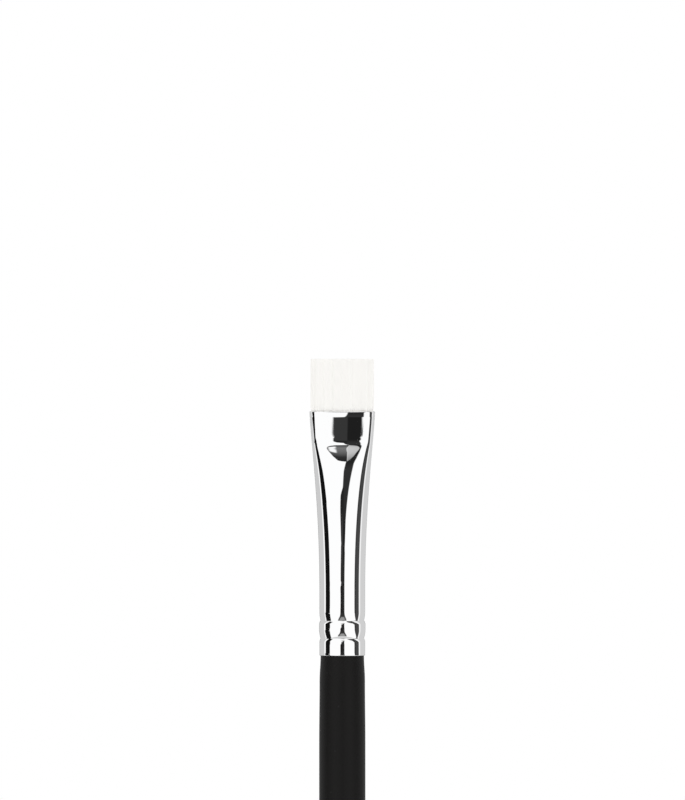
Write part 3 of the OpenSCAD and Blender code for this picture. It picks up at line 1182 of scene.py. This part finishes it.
@dataclass(frozen=True)
class Studio:
    """Soft white surround with dark flags that only polished and lacquered faces show.

    The sky is the level of the light on dull faces by elevation. The floor is plain near the brush
    and fades into the white surround towards its rim.
    """

    rear_walls: tuple[Card, ...] = (
        Card(-BEHIND, -103.0, -90.0, 90.0, 0.6, side_softness=4.0),
        Card(103.0, BEHIND, -90.0, 90.0, 0.63, side_softness=4.0),
        Card(-103.0, -94.0, -90.0, 90.0, 1.0),
        Card(92.0, 103.0, -90.0, 90.0, 0.9),
        Card(-BEHIND, BEHIND, BELOW, -29.0, ((-60.0, 0.92), (-39.0, 0.85), (-35.0, 0.62))),
        Card(-BEHIND, -92.0, BELOW, -24.0, ((-60.0, 0.85), (-39.0, 0.75), (-35.0, 0.4))),
        Card(90.0, BEHIND, BELOW, -24.0, ((-60.0, 0.85), (-39.0, 0.75), (-35.0, 0.42))),
        Card(-BEHIND, -165.0, -75.0, 60.0, 0.02),
        Card(167.0, BEHIND, -75.0, 60.0, 0.02),
    )
    right_edge: Line = (
        (-26.0, 84.0), (-21.0, 78.0), (-17.0, 73.0), (-12.0, 68.5), (-2.0, 65.0), (5.0, 61.5),
        (28.0, 57.0), (50.0, 36.0))
    side_flags: tuple[Card, ...] = (
        Card(
            ((-4.9, -96.5), (-4.3, -99.5), (-3.6, -102.0), (-3.1, -95.0), (-1.2, -93.5)),
            ((-5.6, -65.0), (-5.15, -74.0), (-4.8, -74.0), (-4.4, -69.5), (-3.6, -66.0), (-3.0, -64.5),
             (-2.2, -66.0), (-1.4, -66.0), (-0.9, -64.0), (4.0, -63.0), (7.0, -66.0)),
            -90.0, 50.0, 0.006, high_softness=8.0),
        Card(right_edge, ((-4.8, 93.5), (0.0, 92.5), (45.0, 81.0)), -27.0, 66.0, 0.058),
        Card(
            right_edge, ((-12.0, 74.0), (-2.0, 71.0), (5.0, 68.0), (28.0, 64.0), (50.0, 42.0)),
            -27.0, 66.0, 0.03, side_softness=2.0),
    )
    table_edge: Card = Card(
        ((-26.0, -24.0), (-21.0, -19.0), (-17.0, -14.0), (-12.0, -11.0), (-2.0, -9.2)),
        ((-26.0, 24.0), (-21.0, 20.0), (-17.0, 16.0), (-12.0, 12.5), (-2.0, 11.0)),
        -28.0, -1.5, ((-20.0, 0.1), (-14.0, 0.03)))
    table_top: Card = Card(
        ((-24.0, -14.0), (-18.0, -5.0)), ((-24.0, 14.0), (-18.0, 8.0)), -28.0, -18.0, 0.3)
    grey_front: Card = Card(
        ((-1.3, -9.6), (-0.95, -7.4), (-0.8, -6.5), (-0.6, -5.9), (-0.4, -5.6), (-0.3, -5.15),
         (-0.24, -4.75), (-0.18, -4.5), (-0.14, -4.3), (0.0, -4.9), (1.0, -5.1), (2.0, -5.1),
         (4.0, -4.8), (8.0, -3.1), (11.0, 0.6)),
        4.0, -3.0, 11.5, ((-1.2, 0.016), (-0.6, 0.036), (1.5, 0.036), (4.0, 0.018)), high_softness=1.0)
    disc_edge: Line = ((25.0, 4.4), (32.0, 3.8), (34.0, 3.0))
    pale_disc: Card = Card(
        disc_edge, ((24.5, 8.5), (30.0, 12.3)), 24.5, 46.0,
        ((25.5, 0.22), (28.0, 0.38), (31.0, 0.52), (34.0, 0.58)), side_softness=2.0, high_softness=8.0)
    pale_patch: Card = Card(
        -9.6, -4.5, 31.6, 33.7, 0.95, side_softness=2.0, low_softness=1.0, high_softness=0.8)
    dark_disc: Card = Card(
        ((25.0, 4.5), (25.9, -4.2), (28.3, -7.8), (30.7, -9.8), (32.3, -10.9), (33.9, -5.0), (35.0, 2.5)),
        disc_edge, 25.0, 35.0, ((26.0, 0.02), (28.5, 0.03), (31.0, 0.1), (33.5, 0.16)), low_softness=0.5)
    black_front: Card = Card(
        ((10.0, 2.7), (11.5, 0.9), (19.0, 1.6), (25.0, 3.5), (26.0, 6.6), (28.0, 9.4), (32.0, 12.0)),
        ((-1.3, 11.0), (-0.7, 10.9), (-0.6, 10.2), (-0.43, 9.75), (-0.2, 10.2), (0.5, 10.1), (2.0, 9.5),
         (6.0, 10.0), (13.0, 10.6), (19.0, 10.9), (22.5, 11.0), (25.6, 12.2), (32.0, 13.2)),
        -3.0, 33.0, ((-1.2, 0.03), (-0.6, 0.013), (0.5, 0.013), (5.0, 0.026), (20.0, 0.03), (24.0, 0.016)))
    sky: Line = ((-6.0, 0.94), (0.0, 1.37), (35.0, 1.04), (60.0, 0.81), (90.0, 0.67))
    floor_tone: float = 0.9
    floor_roughness: float = 0.9
    floor_radius: float = 1.9
    floor_plain: float = 0.35
    floor_fade: float = 0.9
    floor_hub: float = 0.01
    floor_steps: int = 12
    floor_points: int = 96
    camera_distance: float = 1.375
    camera_height: float = 164.217 * MM
    camera_shift: float = 0.03 * MM
    view_height: float = 112.5 * MM
    sensor: float = 36.0
    clip: tuple[float, float] = (0.01, 100.0)

    def build(self) -> None:
        """Sets the surround, the floor and the camera."""
        self.build_surround()
        self.build_floor()
        self.build_camera()
        bpy.context.scene.view_settings.view_transform = "Standard"

    def card_mask(self, board: Board, azimuth: object, elevation: object,
                  card: Card) -> bpy.types.NodeSocket:
        """Where a card is seen.

        Args:
            board: the world's nodes.
            azimuth: the direction's azimuth.
            elevation: the direction's elevation.
            card: the card.

        Returns:
            1 on the card and 0 beside it.
        """
        west, east = board.line(elevation, card.west), board.line(elevation, card.east)
        sides = (
            board.step(azimuth, west, card.side_softness, Sense.RISING),
            board.step(azimuth, east, card.side_softness, Sense.FALLING))
        ends = (
            board.step(elevation, card.low, card.low_softness, Sense.RISING),
            board.step(elevation, card.high, card.high_softness, Sense.FALLING))
        return board.math("MULTIPLY", board.math("MULTIPLY", *sides), board.math("MULTIPLY", *ends))

    def build_surround(self) -> None:
        """Builds the world: white, with the cards in what glossy faces see."""
        world = bpy.data.worlds.new("studio")
        world.use_nodes = True
        world.cycles.sampling_method = "NONE"
        bpy.context.scene.world = world
        board = Board(world.node_tree)
        background = board.find("BACKGROUND")
        place = board.node("SeparateXYZ")
        board.feed(place.inputs[0], board.node("TexCoord").outputs["Generated"])
        x, y, z = place.outputs
        azimuth = board.math("DEGREES", board.math("ARCTAN2", x, board.math("MULTIPLY", y, -1.0)))
        elevation = board.math("DEGREES", board.math("ARCSINE", z))
        level = 1.0
        front = (self.table_edge, self.table_top, self.grey_front, self.pale_disc, self.dark_disc)
        for card in self.rear_walls + self.side_flags + front + (self.pale_patch, self.black_front):
            mask = self.card_mask(board, azimuth, elevation, card)
            level = board.mix(mask, level, board.line(elevation, card.tone))
        path = board.node("LightPath")
        plain = board.mix(path.outputs["Is Diffuse Ray"], 1.0, board.line(elevation, self.sky))
        shown = board.mix(path.outputs["Is Glossy Ray"], plain, level)
        board.feed(background.inputs["Color"], shown)
        background.inputs["Strength"].default_value = 1.0

    def build_floor(self) -> None:
        """Builds the pale floor, which fades into the white surround."""
        radii = levels(self.floor_radius, self.floor_hub, self.floor_steps)
        rings = np.array([circle(radius, 0.0, self.floor_points) for radius in radii])
        count, points = rings.shape[:2]
        hub = list(range((count - 1) * points, count * points))
        faces = ring_quads(count, points, False).tolist() + [hub]
        floor = Piece("studio_floor", rings.reshape(-1, 3), faces).object
        floor.visible_glossy = False
        material = bpy.data.materials.new("studio_floor")
        material.use_nodes = True
        board = Board(material.node_tree)
        shader, output = board.find("BSDF_PRINCIPLED"), board.find("OUTPUT_MATERIAL")
        board.feed(shader.inputs["Base Color"], (self.floor_tone,) * 3)
        board.feed(shader.inputs["Roughness"], self.floor_roughness)
        glow = board.node("Emission")
        away = board.node("VectorMath", operation="LENGTH")
        board.feed(away.inputs[0], board.node("TexCoord").outputs["Object"])
        middle = (self.floor_plain + self.floor_radius) / 2
        softness = (self.floor_radius - self.floor_plain) * self.floor_fade
        fade = board.step(away.outputs["Value"], middle, softness, Sense.RISING)
        path = board.node("LightPath")
        seen = board.math("ADD", path.outputs["Is Camera Ray"], path.outputs["Is Glossy Ray"])
        seen = board.math("ADD", seen, path.outputs["Is Transmission Ray"], clamp=True)
        blend = board.node("MixShader")
        board.feed(blend.inputs[0], board.math("MULTIPLY", fade, seen))
        board.feed(blend.inputs[1], shader.outputs[0])
        board.feed(blend.inputs[2], glow.outputs[0])
        board.feed(output.inputs[0], blend.outputs[0])
        floor.data.materials.append(material)

    def build_camera(self) -> None:
        """Places the camera level with the mouth of the ferrule, in front of the brush."""
        data = bpy.data.cameras.new("camera")
        data.sensor_width = self.sensor
        data.lens = self.sensor * self.camera_distance / self.view_height
        data.clip_start, data.clip_end = self.clip
        camera = bpy.data.objects.new("camera", data)
        bpy.context.scene.collection.objects.link(camera)
        camera.location = (self.camera_shift, -self.camera_distance, self.camera_height)
        camera.rotation_euler = (math.pi / 2, 0.0, 0.0)
        bpy.context.scene.camera = camera


def main() -> None:
    """Builds the sub-assemblies in order, then the studio."""
    logging.basicConfig(level=logging.INFO, format="%(name)s: %(message)s")
    ferrule = Ferrule()
    for part in (ferrule, Tuft(ferrule), Handle(ferrule), BindingThread(ferrule), KeptSolids()):
        part.build()
    Studio().build()


if __name__ == "__main__":
    main()
